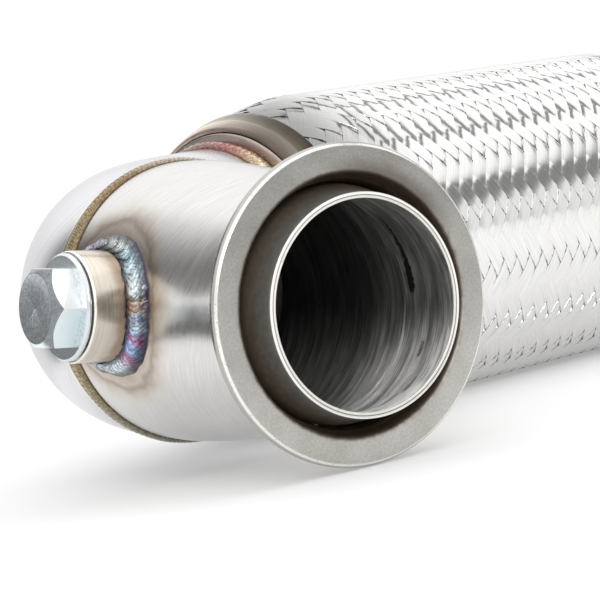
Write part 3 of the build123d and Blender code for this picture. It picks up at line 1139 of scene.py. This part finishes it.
@dataclass
class PipeRun(SubAssembly):
    """The coned reducer, the elbow and the beads that join them."""

    taper_start: float = 18.0
    taper_end: float = 66.0
    start_round: float = 5.0
    end_round: float = 9.0
    elbow_turn: float = 79.0
    elbow_radius: float = 55.0
    elbow_straight: float = 3.0
    elbow_facets: int = 192
    elbow_steps: int = 64
    boss_depth: float = 61.4
    boss_clock: float = 7.0
    port_radius: float = 9.5
    drill_length: float = 14.0

    def build(self) -> list[Piece]:
        """Builds its pieces."""
        return [self.reducer(), self.elbow(), self.seam_bead(), self.flex_bead()]

    def boss_way(self) -> Vector:
        """The sensor boss's direction on the inlet's bench."""
        clock = math.radians(self.boss_clock)
        return Vector((math.cos(clock), math.sin(clock), 0))

    def radius_at(self, depth: np.ndarray) -> np.ndarray:
        """The reducer's outer radius at some depths, without its rounds."""
        radii = (self.layout.neck_radius, self.layout.pipe_radius)
        return np.interp(depth, (self.taper_start, self.taper_end), radii)

    def reducer(self) -> Piece:
        """Turns the coned pipe and bores the sensor's port in it.

        Returns:
            The piece.
        """
        neck, pipe, wall = self.layout.neck_radius, self.layout.pipe_radius, self.layout.wall
        start, end = self.layout.neck_length, self.layout.reducer_end
        outline = [
            (neck, start),
            (neck, self.taper_start, self.start_round),
            (pipe, self.taper_end, self.end_round),
            (pipe, end),
            (pipe - wall, end),
            (pipe - wall, self.taper_end, self.end_round),
            (neck - wall, self.taper_start, self.start_round),
            (neck - wall, start),
        ]
        piece = turned("reducer_cone", outline, steps=256, arc_steps=8)
        self.bore_port(piece)
        at = points_of(piece)
        mark_inside(piece, at, self.radius_at(at[:, 2]) - wall / 2)
        steel = PipeSteel(
            "reducer_steel",
            seams=((end, 4.0), (start, 3.0)),
            boss=((0.0, 0.0, self.boss_depth), tuple(self.boss_way())),
        )
        self.dressed(piece, steel.build(), self.layout.inlet)
        return self.listed(piece, "inlet_reducer", "brushed_pipe")

    def bore_port(self, piece: Piece) -> None:
        """Bores the sensor's port through the reducer's wall.

        Args:
            piece: the piece.
        """
        make_active(None)
        middle = self.boss_way() * self.layout.pipe_radius * MM
        middle.z = self.boss_depth * MM
        bpy.ops.mesh.primitive_cylinder_add(
            vertices=64,
            radius=self.port_radius * MM,
            depth=self.drill_length * MM,
            location=middle,
            rotation=self.boss_way().to_track_quat("Z", "Y").to_euler(),
        )
        drill = bpy.context.object
        apply_modifier(piece, "BOOLEAN", operation="DIFFERENCE", object=drill)
        bpy.data.objects.remove(drill)

    def elbow(self) -> Piece:
        """Bends the elbow from a ring, with a short straight at each end.

        Returns:
            The piece.
        """
        pipe, wall = self.layout.pipe_radius, self.layout.wall
        bend = math.radians(self.elbow_turn)
        radius = self.elbow_radius * MM
        straight = self.elbow_straight * MM
        piece = new_ring("elbow_pipe", self.elbow_facets, pipe)
        bpy.ops.object.mode_set(mode="EDIT")
        bpy.ops.mesh.select_all(action="SELECT")
        move = {"value": (0, 0, straight)}
        bpy.ops.mesh.extrude_region_move(TRANSFORM_OT_translate=move)
        center = (-radius, 0, straight)
        bpy.ops.mesh.spin(steps=self.elbow_steps, angle=bend, center=center, axis=(0, 1, 0))
        move = {"value": (-math.sin(bend) * straight, 0, math.cos(bend) * straight)}
        bpy.ops.mesh.extrude_region_move(TRANSFORM_OT_translate=move)
        close_mesh()
        apply_modifier(piece, "SOLIDIFY", thickness=wall * MM, offset=-1.0)
        rows = self.unbent(points_of(piece))
        keep_bench(piece, rows)
        mark_inside(piece, rows, pipe - wall / 2)
        length = 2 * self.elbow_straight + self.elbow_radius * bend
        steel = PipeSteel(
            "elbow_steel",
            colour=(0.77, 0.76, 0.785),
            seams=((0.0, 4.0), (length, 6.0)),
            # painted shade: the elbow's whole inside is darkened
            bore_shade=(-20.0, -10.0),
        )
        self.dressed(piece, steel.build(), self.joint_seat())
        return self.listed(piece, "elbow", "brushed_pipe")

    def joint_seat(self) -> Seat:
        """The seat between the reducer and the elbow."""
        return self.layout.inlet.shifted(self.layout.reducer_end)

    def unbent(self, points: np.ndarray) -> np.ndarray:
        """Where each point of the elbow lay before its pipe was bent.

        Args:
            points: the elbow's points on the bench, in millimetres.

        Returns:
            Rows in millimetres, with the pipe's length along Z.
        """
        x = points[:, 0] + self.elbow_radius
        z = points[:, 2] - self.elbow_straight
        turn = np.clip(np.arctan2(z, x), 0, math.radians(self.elbow_turn))
        out = x * np.cos(turn) + z * np.sin(turn)
        past = -x * np.sin(turn) + z * np.cos(turn)
        along = self.elbow_straight + self.elbow_radius * turn + past
        return np.stack([out - self.elbow_radius, points[:, 1], along], axis=1)

    def seam_bead(self) -> Piece:
        """Lays the rippled bead between the reducer and the elbow."""
        bead = RoundBead(
            "seam_bead",
            self.layout.pipe_radius,
            seed=23,
            tint=BeadTint.BRONZE,
            width=6.5,
            height=1.2,
            pitch=1.5,
            outline=(0.09, 0.055, 0.03),
            line=0.8,
        )
        return self.bead(bead, self.joint_seat(), "elbow_seam_weld")

    def flex_bead(self) -> Piece:
        """Lays the lumpy bead between the elbow and the flexible section.

        Returns:
            The piece.
        """
        bead = RoundBead("flex_bead", self.layout.pipe_radius, seed=37)
        seat = self.layout.flex.shifted(-self.layout.fitting_length)
        return self.bead(bead, seat, "elbow_flex_weld")


@dataclass
class SensorBoss(SubAssembly):
    """The threaded boss, its saddle bead, the washer and the plug.

    Heights are over the pipe's axis, along the boss's own.
    """

    run: PipeRun
    radius: float = 14.6
    foot: float = 30.0
    foot_gap: float = 0.05
    top: float = 47.7
    top_round: float = 0.7
    recess: float = 1.0
    play: float = 0.25
    washer_radius: float = 12.0
    washer_thickness: float = 1.4
    washer_round: float = 0.15
    gap: float = 0.02
    thread_radius: float = 9.0
    thread_play: float = 0.1
    shank_length: float = 11.0
    collar_radius: float = 14.0
    collar_thickness: float = 1.25
    collar_chamfer: float = 0.6
    collar_rounds: tuple = (0.15, 0.2)
    hex_across: float = 20.2
    hex_height: float = 7.8
    hex_sunk: float = 0.5
    hex_bevel: float = 0.2
    cutter_room: float = 2.0
    face_radius: float = 9.15
    face_slope: float = math.tan(math.radians(42.0))
    bead_reach: float = 5.9
    bead_height: float = 3.4
    bead_rows: int = 17
    bead_ripples: int = 24

    def build(self) -> list[Piece]:
        """Builds its pieces."""
        return [self.boss(), self.saddle_bead(), self.washer(), self.plug()]

    def seated(
        self, piece: Piece, material: Material, node: str, slot: str, sharp: float = 30.0
    ) -> Piece:
        """Dresses a piece on the boss's seat, with X along the pipe, and lists it.

        Args:
            piece: the piece.
            material: its look.
            node: the CAD node.
            slot: the record's material slot.
            sharp: the angle over which an edge stays sharp, in degrees.

        Returns:
            The piece.
        """
        bench = self.layout.inlet.matrix()
        way = bench.to_3x3() @ self.run.boss_way()
        origin = bench @ Vector((0, 0, self.run.boss_depth * MM))
        seat = Seat(origin, way, self.layout.inlet.axis)
        return self.listed(self.dressed(piece, material, seat, sharp), node, slot)

    def pipe_height(self, x: np.ndarray, y: np.ndarray) -> np.ndarray:
        """The height of the reducer's surface over the pipe's axis.

        Args:
            x: places along the pipe from the boss's axis, in millimetres.
            y: places across the pipe.

        Returns:
            Heights in millimetres.
        """
        return np.sqrt(self.run.radius_at(self.run.boss_depth + x) ** 2 - y**2)

    def heights(self) -> tuple[float, float, float]:
        """The heights of the plug's underside, its collar's face and its end.

        Returns:
            The three heights, in millimetres.
        """
        seat = self.top - self.recess + self.washer_thickness + 2 * self.gap
        collar = seat + self.collar_thickness
        return seat, collar, collar + self.hex_height

    def boss(self) -> Piece:
        """Turns the boss and copes its foot to the pipe.

        Returns:
            The piece.
        """
        floor = self.top - self.recess
        recess = self.washer_radius + self.play
        outline = [
            (self.radius, self.foot),
            (self.radius, self.top, self.top_round),
            (recess, self.top),
            (recess, floor),
            (self.thread_radius, floor),
            (self.thread_radius, self.foot),
        ]
        piece = turned("sensor_boss", outline, arc_steps=3)
        at = points_of(piece)
        foot = at[:, 2] < self.foot + 0.5
        at[foot, 2] = self.pipe_height(at[foot, 0], at[foot, 1]) + self.foot_gap
        put_points(piece, at)
        return self.seated(piece, self.boss_steel(), "sensor_bung", "turned_steel")

    def boss_steel(self) -> Material:
        """Cream turned steel, with a brown tint down by the bead.

        Returns:
            The material.
        """
        n = Nodes("boss_steel")
        at = n.bench()
        z = n.split(at)[2]
        marks = n.streaks(at, (0.06, 0.06, 2.4))
        colour = n.tone((0.70, 0.64, 0.555), marks.remap(0.3, 0.7, 0.88, 1.06))
        heat = (z + n.noise(at, 0.3, 4.0) * 3.0).remap(40.5, 44.5, 0.85, 0.0)
        colour = n.mix(heat, colour, (0.34, 0.24, 0.17))
        colour = n.mix(z.remap(self.top - 0.7, self.top - 0.4), colour, (0.9, 0.88, 0.84))
        return n.finish(colour, marks.remap(0.3, 0.7, 0.17, 0.27), n.bump(marks, 0.00001, 0.5))

    def saddle_bead(self) -> Piece:
        """Lays the fat rippled bead round the boss's foot.

        Returns:
            The piece.
        """
        corners = [
            (self.radius + self.bead_reach * share, self.bead_height * (1 - share**3) ** 0.6)
            for share in np.linspace(0, 1, self.bead_rows)
        ]
        piece = turned("saddle_bead", [*corners, (self.radius + 1.0, 0.1)], steps=720)
        at = points_of(piece)
        angle = np.arctan2(at[:, 1], at[:, 0])
        over = np.hypot(at[:, 0], at[:, 1]) - self.radius
        share = np.clip(over / self.bead_reach, 0, 1)
        reach = 0.65 + 0.26 * np.cos(angle) ** 2 + 0.09 * waves(41, 6, 5, 23)(angle)
        lag = 3.2 * (share - 0.5) ** 2
        drift = 0.6 * waves(43, 4, 2, 9)(angle)
        saw = (self.bead_ripples * angle / FULL_TURN - lag + drift) % 1.0
        lumps = waves(47, 6, 3, 21)(angle)
        rise = at[:, 2] * (0.7 + 0.2 * (1 - saw) ** 0.8 + 0.1 * lumps)
        rows = ringed(angle, self.radius + over * reach, rise)
        rows[:, 2] += self.pipe_height(rows[:, 0], rows[:, 1])
        put_points(piece, rows)
        keep_number(piece, "coin", saw)
        keep_number(piece, "toe", np.abs(2 * share - 1))
        # strong painted shade on the saddle bead's flanks
        oxide = WeldMetal("saddle_bead_metal", BeadTint.OXIDE, 0.15, shade=0.78, flank_shade=0.32)
        return self.seated(piece, oxide.build(), "bung_weld", "weld_bead", 50)

    def washer(self) -> Piece:
        """Turns the washer.

        Returns:
            The piece.
        """
        low = self.top - self.recess + self.gap
        high = low + self.washer_thickness
        bore, edge = self.thread_radius + self.play, self.washer_radius
        corners = ((bore, low), (edge, low), (edge, high), (bore, high))
        outline = [(*corner, self.washer_round) for corner in corners]
        piece = turned("plug_seal", outline, steps=128, arc_steps=3)
        metal = TurnedSteel("seal_metal", (0.2, 0.19, 0.18), 0.44).build()
        return self.seated(piece, metal, "plug_washer", "washer_metal")

    def hexagon(self) -> Piece:
        """Cuts the plug's hexagon, with a chamfered end.

        Returns:
            The piece.
        """
        seat, _, end = self.heights()
        corner = self.hex_across / 2 / math.cos(math.pi / 6)
        height = self.hex_height + self.hex_sunk
        make_active(None)
        bpy.ops.mesh.primitive_cylinder_add(
            vertices=6,
            radius=corner * MM,
            depth=height * MM,
            location=(0, 0, (end - height / 2) * MM),
            rotation=(0, 0, math.pi / 6),
        )
        head = bpy.context.object
        bpy.ops.object.transform_apply(location=True, rotation=True, scale=True)
        wide, low = corner + self.cutter_room, seat - self.cutter_room / 2
        bevel = (corner - self.face_radius) * self.face_slope
        outline = [
            (ON_AXIS, low),
            (wide, low),
            (wide, end - bevel - self.cutter_room * self.face_slope),
            (self.face_radius, end),
            (ON_AXIS, end),
        ]
        cone = turned("cone_cutter", outline, steps=128)
        apply_modifier(head, "BOOLEAN", operation="INTERSECT", object=cone)
        bpy.data.objects.remove(cone)
        edge = self.hex_bevel * MM
        apply_modifier(head, "BEVEL", width=edge, segments=3, limit_method="ANGLE")
        return head

    def plug(self) -> Piece:
        """Builds the plug: a hexagon on a collar, with its shank.

        Returns:
            The piece.
        """
        head = self.hexagon()
        seat, collar, _ = self.heights()
        shank = self.thread_radius - self.thread_play
        chamfer = self.collar_chamfer
        low_round, high_round = self.collar_rounds
        outline = [
            (ON_AXIS, seat - self.shank_length),
            (shank, seat - self.shank_length),
            (shank, seat),
            (self.collar_radius, seat, low_round),
            (self.collar_radius, collar - chamfer, high_round),
            (self.collar_radius - chamfer, collar),
            (ON_AXIS, collar),
        ]
        piece = turned("plug_head", outline, steps=160)
        make_active(piece)
        head.select_set(True)
        bpy.ops.object.join()
        return self.seated(piece, self.plug_steel(), "sensor_plug", "plug_steel", 25)

    def plug_steel(self) -> Material:
        """Bright plating, duller and speckled on its end and on the collar's face, with painted
        shade darkening the end's chamfer on one side.

        Returns:
            The material.
        """
        n = Nodes("plug_plating")
        at = n.bench()
        x, y, z = n.split(at)
        _, collar, top = self.heights()
        out = n.length(x, y)
        cone = (top - z) * (1 / self.face_slope) + self.face_radius
        right = n.degrees(-y, -x).remap(-80.0, -60.0)
        slant = (abs(out - cone) < 0.12) * right * z.remap(collar + 1.0, collar + 1.5)
        ledge = z.window(collar - 0.03, collar + 0.03, 0.02)
        face = n.most(z.remap(top - 0.2, top - 0.06), slant, ledge)
        specks = n.noise(at, 1.3, 6.0, 0.8).remap(0.3, 0.72, 0.72, 1.3)
        wear = n.noise(at, 2.4, 4.0, 0.8).remap(0.64, 0.74)
        dull = n.mix(wear, n.tone((0.65, 0.7, 0.72), specks), (0.75, 0.78, 0.8))
        # painted shade: the end's chamfer darkened on one side
        dull = n.mix(slant, dull, n.tone((0.25, 0.27, 0.28), specks))
        flat = n.mix(y.remap(-1.5, 1.5), (0.98, 0.99, 0.99), (0.86, 0.96, 0.99))
        side = out.remap(13.2, 13.4) * (z < collar + 0.02)
        colour = n.mix(side, n.mix(face, flat, dull), (0.72, 0.75, 0.77))
        rough = 0.36 - face * 0.14 - side * 0.2
        return n.finish(colour, rough, n.bump(n.noise(at, 0.9, 5.0), 0.00005, 0.5), 0.85)


@dataclass
class FlexSection(SubAssembly):
    """The flexible section: end fittings, caps and the woven braid."""

    shoulder_radius: float = 42.2
    shoulder_start: float = 5.1
    shoulder_end: float = 3.2
    shoulder_rounds: tuple = (0.6, 0.9)
    nipple: float = 11.0
    cap_radius: float = 47.2
    cap_wall: float = 1.3
    cap_start: float = 4.4
    cap_nose: float = 43.75
    cap_cone_end: float = 2.2
    cap_end: float = 5.0
    cap_lip_radius: float = 43.1
    cap_lip: float = 1.85
    cap_play: float = 0.25
    nose_round: float = 1.0
    dome_round: float = 5.0
    rim_round: float = 0.3
    braid_radius: float = 51.0
    tuck_radius: float = 45.6
    tuck_start: float = 2.5
    swell: float = 22.0
    ribbons: int = 34
    pitch: float = 6.0
    ribbon_width: float = 0.98
    crown: float = 0.05
    ribbon_thickness: float = 0.32
    lift: float = 0.42
    square: float = 2.0
    row_angle: float = 13.8
    row_shift: float = 1.9
    plate: float = 1.3
    ribbon_steps: int = 144

    def build(self) -> list[Piece]:
        """Builds its pieces, and dresses the two CAD nodes inside the braid.

        Returns:
            The pieces.
        """
        near = self.layout.flex
        far = Seat(self.far_end(), near.axis * -1, near.across)
        pieces = []
        for seat, side, body in ((near, "inlet", "inlet_side"), (far, "outlet", "outlet_side")):
            pieces += [self.neck(seat, side, body), self.cap(seat, side, body)]
        self.dress_inner("flex_liner")
        self.dress_inner("flex_bellows")
        return [*pieces, self.braid()]

    def far_end(self) -> Vector:
        """The end of the braid's axis, on the outlet's side."""
        return self.layout.flex.shifted(self.layout.braid_length).origin

    def neck(self, seat: Seat, side: str, body: str) -> Piece:
        """Turns an end fitting with its raised shoulder.

        Args:
            seat: its place on the part.
            side: the end that it is on, inlet or outlet.
            body: the body that it rides on.

        Returns:
            The piece.
        """
        pipe, length = self.layout.pipe_radius, self.layout.fitting_length
        bore = pipe - self.layout.wall
        root_round, top_round = self.shoulder_rounds
        outline = [
            (bore, -length),
            (pipe, -length),
            (pipe, -self.shoulder_start, root_round),
            (self.shoulder_radius, -self.shoulder_start, top_round),
            (self.shoulder_radius, -self.shoulder_end),
            (pipe, -self.shoulder_end),
            (pipe, self.nipple),
            (bore, self.nipple),
        ]
        piece = turned(f"{side}_neck", outline, steps=224)
        steel = TurnedSteel(f"{side}_neck_steel", (0.42, 0.36, 0.33), 0.21, mottle=0.4)
        self.dressed(piece, steel.build(), seat)
        return self.listed(piece, f"flex_{side}_neck", "cap_steel", body)

    def cap(self, seat: Seat, side: str, body: str) -> Piece:
        """Turns the domed cap that holds the braid's end.

        Args:
            seat: its place on the part.
            side: the end that it is on, inlet or outlet.
            body: the body that it rides on.

        Returns:
            The piece.
        """
        hold = self.shoulder_radius + self.cap_play
        bore = self.cap_radius - self.cap_wall
        inner = self.cap_lip - self.cap_start
        outline = [
            (hold, -self.cap_start),
            (self.cap_nose, -self.cap_start, self.nose_round),
            (self.cap_radius, self.cap_cone_end, self.dome_round),
            (self.cap_radius, self.cap_end, self.rim_round),
            (bore, self.cap_end),
            (bore, self.cap_cone_end),
            (self.cap_lip_radius, inner),
            (hold, inner),
        ]
        piece = turned(f"{side}_cap", outline, steps=224, arc_steps=10)
        self.dressed(piece, self.cap_steel(f"{side}_cap_steel"), seat)
        return self.listed(piece, f"flex_{side}_cap", "cap_steel", body)

    def cap_steel(self, name: str) -> Material:
        """Heat-browned pressed steel, with a paler band round its middle, and painted light:
        lighter on one side and darker round the rest.

        Args:
            name: its name.

        Returns:
            The material.
        """
        n = Nodes(name)
        at = n.bench()
        x, y, z = n.split(at)
        depth = (z + n.noise(at, 0.12) * 1.2).remap(-4.0, 6.0)
        stops = (
            (0.0, (0.32, 0.26, 0.22)),
            (0.12, (0.4, 0.35, 0.3)),
            (0.32, (0.48, 0.44, 0.37)),
            (0.45, (0.3, 0.26, 0.2)),
            (0.7, (0.2, 0.165, 0.12)),
            (1.0, (0.12, 0.09, 0.065)),
        )
        marks = n.streaks(at, (0.05, 0.05, 2.0))
        colour = n.tone(n.ramp(depth, stops), marks.remap(0.3, 0.7, 0.85, 1.1))
        # painted light: the cap lighter on one side and darker round the rest
        colour = n.tone(colour, n.degrees(y, x).remap(-130.0, -62.0, 2.6, 0.4))
        rough = n.noise(at, 0.25, 5.0).remap(0.3, 0.7, 0.22, 0.34)
        return n.finish(colour, rough, n.bump(marks, 0.00002, 0.5))

    def outside(self, from_end: np.ndarray) -> np.ndarray:
        """The braid's outer radius at some distances from its nearer end.

        Args:
            from_end: the distances, in millimetres.

        Returns:
            The radii, in millimetres.
        """
        share = np.clip((from_end - self.cap_end) / self.swell, 0, 1)
        rise = self.braid_radius - self.tuck_radius
        return self.tuck_radius + rise * np.sin(share * math.pi / 2)

    def flat_ribbon(self) -> Piece:
        """Rolls one flat ribbon, with a crowned face, on the bench.

        Returns:
            The ribbon: X runs from 0 to 1 along it, Y from -1 to 1 across it, and
            Z is its height in millimetres over its underside.
        """
        make_active(None)
        bpy.ops.mesh.primitive_grid_add(
            x_subdivisions=self.ribbon_steps, y_subdivisions=4, size=2
        )
        piece = bpy.context.object
        at = points_of(piece, 1.0)
        at[:, 0] = (at[:, 0] + 1) / 2
        at[:, 2] = self.ribbon_thickness + self.crown * (1 - at[:, 1] ** 2)
        put_points(piece, at, 1.0)
        apply_modifier(piece, "SOLIDIFY", thickness=self.ribbon_thickness, offset=-1.0)
        return piece

    def woven(self, flat: np.ndarray, lean: int, index: int) -> tuple[np.ndarray, ...]:
        """Where the points of one ribbon lie in the weave, two over and two under.

        Args:
            flat: the flat ribbon's points.
            lean: which way the ribbon winds, -1 or 1.
            index: its number in its family.

        Returns:
            The points, the rows for its material and the distances from the nearer
            end, all in millimetres.
        """
        start, stop = self.tuck_start, self.layout.braid_length - self.tuck_start
        step_round = FULL_TURN / (2 * self.ribbons)
        along = start + (stop - start) * flat[:, 0]
        from_end = np.minimum(along, self.layout.braid_length - along)
        middle = (along - self.row_shift) / self.pitch - index
        across = flat[:, 1] * self.ribbon_width / 2
        turn = lean * (middle - across) * 2 * step_round
        other = 2 * (middle - across) + across - 0.5 * lean
        over = np.tanh(self.square * np.cos(FULL_TURN * other / 4)) / math.tanh(self.square)
        high = self.ribbon_thickness + self.crown
        rise = flat[:, 2] - high + self.lift * (-lean * over - 1)
        phase = (other - (2 if lean > 0 else 0) + 2) % 4 - 2
        off = np.clip(np.abs(phase - across), 0, self.plate) * step_round
        chord = math.cos(self.plate * step_round) / np.cos(off)
        out = self.outside(from_end) * chord + rise
        rows = ringed(math.radians(self.row_angle) + turn, out, along)
        deep = np.full_like(along, 11.0 * index)
        marks = np.stack([along * 2.0 + 37.0 * index, across * 6.0, deep], axis=1)
        return rows, marks, from_end

    def braid(self) -> Piece:
        """Weaves the braid from two families of ribbons.

        Returns:
            The braid.
        """
        master = self.flat_ribbon()
        flat = points_of(master, 1.0)
        pieces = []
        for lean in (-1, 1):
            for index in range(self.ribbons):
                piece = master.copy()
                piece.data = master.data.copy()
                bpy.context.collection.objects.link(piece)
                rows, marks, from_end = self.woven(flat, lean, index)
                put_points(piece, rows)
                keep_bench(piece, marks)
                keep_number(piece, "from_end", from_end)
                pieces.append(piece)
        bpy.data.objects.remove(master)
        braid = pieces[0]
        make_active(braid)
        for piece in pieces:
            piece.select_set(True)
        bpy.ops.object.join()
        braid.name = "woven_braid"
        self.dressed(braid, self.ribbon_steel(), self.layout.flex, 40)
        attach(braid, "inlet_side")
        braid.parent = None
        start, end = self.layout.flex.origin, self.far_end()
        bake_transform(braid)
        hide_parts("flex_braid")
        return braid

    def ribbon_steel(self) -> Material:
        """Bright rolled ribbon with fine lines along it, darkened toward the caps as painted
        shade.

        Returns:
            The material.
        """
        n = Nodes("ribbon_steel")
        lines = n.streaks(n.bench(), (0.05, 1.6, 1.0), 3.0, 0.55)
        colour = n.tone((0.87, 0.865, 0.855), lines.remap(0.25, 0.75, 0.88, 1.05))
        # painted shade: the ribbons darken toward the caps
        colour = n.tone(colour, n.number("from_end").remap(4.0, 40.0, 0.3, 1.0))
        return n.finish(colour, lines * 0.1 + 0.05, n.bump(lines, 0.000004, 0.3))

    def dress_inner(self, node: str) -> None:
        """Gives a sealed inner CAD node a plain rolled finish.

        Args:
            node: the CAD node.
        """
        n = Nodes(f"{node}_steel")
        at = n.value("ShaderNodeTexCoord", {}, "Object")
        lines = n.streaks(at, (900.0, 40.0, 40.0), 3.0, 0.55)
        colour = n.tone((0.4, 0.39, 0.38), lines.remap(0.25, 0.75, 0.85, 1.1))
        material = n.finish(colour, 0.4, n.bump(lines, 0.00002, 0.4))
        for slot in frame["nodes"][node].material_slots:
            slot.material = material


@dataclass
class Outlet(SubAssembly):
    """The plain pipe end and its bead."""

    wall: float = 2.1
    length: float = 65.0
    start: float = 0.02
    edge_round: float = 0.3

    def build(self) -> list[Piece]:
        """Builds its pieces.

        Returns:
            The pieces.
        """
        radius = self.layout.pipe_radius
        bore = radius - self.wall
        seat = self.layout.flex.shifted(self.layout.braid_length + self.layout.fitting_length)
        outline = [
            (bore, self.start),
            (radius, self.start),
            (radius, self.length, self.edge_round),
            (bore, self.length, self.edge_round),
        ]
        pipe = turned("outlet_tube", outline, steps=224)
        mark_inside(pipe, points_of(pipe), radius - self.wall / 2)
        self.dressed(pipe, PipeSteel("outlet_steel", seams=((0.0, 5.0),)).build(), seat)
        self.listed(pipe, "outlet_pipe", "brushed_pipe", "outlet_side")
        bead = RoundBead("outlet_bead", radius, seed=53)
        return [pipe, self.bead(bead, seat, "flex_outlet_weld", "outlet_side")]


@dataclass
class Studio:
    """The floor, the light and the camera, in metres.

    A lamp is (name, place, aim, side, watts). A card is a grey patch in the
    reflections: (from, to, softness) in degrees round the room and in elevation.
    The levels are (elevation, grey) of the room and of the dark card behind it.
    """

    floor_height: float = CAD_BOX[0][2]
    floor_gap: float = 0.0002
    floor_glow: float = 0.24
    lamps: tuple = (
        ("ceiling", (0.1, 0.1, 1.0), (0.08, 0.06, 0.0), 1.2, 1.2),
        ("front", (-0.55, -0.75, 0.42), (0.0, 0.0, 0.0), 0.35, 2.0),
    )
    room: tuple = ((-90, 0.95), (-4, 0.9), (12, 0.92), (24, 1.15), (45, 1.25), (90, 1.2))
    dark: tuple = (
        (-24, 0.8), (-18, 0.22), (-12, 0.12), (-6, 0.12), (4, 0.13), (8.5, 0.2), (10, 1.3),
        (11.3, 1.3), (12.8, 0.28), (23, 0.22), (28, 0.2), (36, 0.42), (48, 1.1),
    )
    dark_span: tuple = (88.0, 134.0, 7.0)
    cards: tuple = (
        ((-62.0, 4.0, 9.0), (12.0, 25.0, 2.0)),
        ((-45.0, 40.0, 9.0), (46.0, 51.0, 1.5)),
        ((-100.0, -48.0, 8.0), (-20.0, 6.0, 3.0)),
    )
    card_share: float = 0.92
    camera_place: tuple = (-0.4478, -0.4618, 0.0260)
    camera_way: tuple = (0.681, 0.7314, -0.0348)
    camera_up: tuple = (0.154, -0.0975, 0.9833)
    lens: float = 156.0

    def build(self) -> None:
        """Builds the studio."""
        self.floor()
        self.world()
        for lamp in self.lamps:
            self.softbox(*lamp)
        self.camera()
        bpy.context.scene.view_settings.view_transform = "Standard"

    def floor(self) -> None:
        """Lays the pale floor, which glows a little where it is seen."""
        make_active(None)
        place = (0.2, -0.74, self.floor_height - self.floor_gap)
        bpy.ops.mesh.primitive_plane_add(size=2, location=place)
        floor = bpy.context.object
        floor.name = "studio_floor"
        n = Nodes("floor_white")
        seen = self.seen(n, "Is Camera Ray", "Is Transmission Ray", "Is Glossy Ray")
        n.link(WHITE, n.shader.inputs["Emission Color"])
        n.link(seen * self.floor_glow, n.shader.inputs["Emission Strength"])
        floor.data.materials.append(n.finish((0.7, 0.7, 0.7), 0.9, metallic=0.0))

    def seen(self, n: Nodes, *rays: str) -> Value:
        """1 for the rays that are named as the Light Path's outputs are."""
        path = n.add("ShaderNodeLightPath")
        return n.most(*(Value(n, path.outputs[ray]) for ray in rays))

    def world(self) -> None:
        """Sets a white backdrop, and a pale room with grey cards for the reflections."""
        world = bpy.data.worlds.new("studio_air")
        bpy.context.scene.world = world
        n = Nodes(world)
        x, y, z = n.split(n.value("ShaderNodeTexCoord", {}, "Generated"))
        rise = n.maths("ARCSINE", z) * DEGREES
        turn = n.degrees(y, x)
        share = rise * (1 / 180) + 0.5
        cards = (turn.window(*across) * rise.window(*up) for across, up in self.cards)
        room = n.ramp(share, self.levels(self.room))
        room = n.mix(n.most(*cards) * self.card_share, room, (0.2, 0.2, 0.2))
        air = n.mix(turn.window(*self.dark_span), room, n.ramp(share, self.levels(self.dark)))
        air = n.mix(self.seen(n, "Is Camera Ray", "Is Transmission Ray"), air, WHITE)
        back = n.value("ShaderNodeBackground", {0: air})
        n.link(back, n.add("ShaderNodeOutputWorld").inputs[0])

    def levels(self, stops: tuple) -> list[tuple[float, tuple]]:
        """Ramp stops of grey from (elevation in degrees, level) pairs."""
        return [(rise / 180 + 0.5, (level, level, level)) for rise, level in stops]

    def softbox(self, name: str, at: tuple, aim: tuple, size: float, power: float) -> None:
        """Hangs a square soft light and aims it.

        Args:
            name: the lamp's name.
            at: its place, in metres.
            aim: the point that it faces.
            size: its side.
            power: its power, in watts.
        """
        data = bpy.data.lights.new(name, "AREA")
        data.shape = "SQUARE"
        data.size = size
        data.energy = power
        lamp = bpy.data.objects.new(name, data)
        bpy.context.scene.collection.objects.link(lamp)
        lamp.location = at
        way = Vector(aim) - Vector(at)
        lamp.rotation_euler = way.to_track_quat("-Z", "Y").to_euler()

    def camera(self) -> None:
        """Sets the camera at the photograph's place."""
        data = bpy.data.cameras.new("photo_camera")
        data.lens = self.lens
        data.sensor_width = 36.0
        data.clip_start = 0.01
        camera = bpy.data.objects.new("photo_camera", data)
        bpy.context.scene.collection.objects.link(camera)
        back = -Vector(self.camera_way).normalized()
        right = Vector(self.camera_up).cross(back).normalized()
        turn = Matrix((right, back.cross(right), back)).transposed().to_4x4()
        camera.matrix_world = Matrix.Translation(self.camera_place) @ turn
        bpy.context.scene.camera = camera


def main() -> None:
    """Builds the downpipe's looks and its studio."""
    logging.basicConfig(level=logging.INFO, format="%(name)s: %(message)s")
    layout = Layout.from_frame()
    run = PipeRun(layout)
    parts = [Inlet(layout), run, SensorBoss(layout, run), FlexSection(layout), Outlet(layout)]
    for part in parts:
        for piece in part.build():
            log.info("%s: %d faces", piece.name, len(piece.data.polygons))
    Studio().build()


if __name__ == "__main__":
    main()
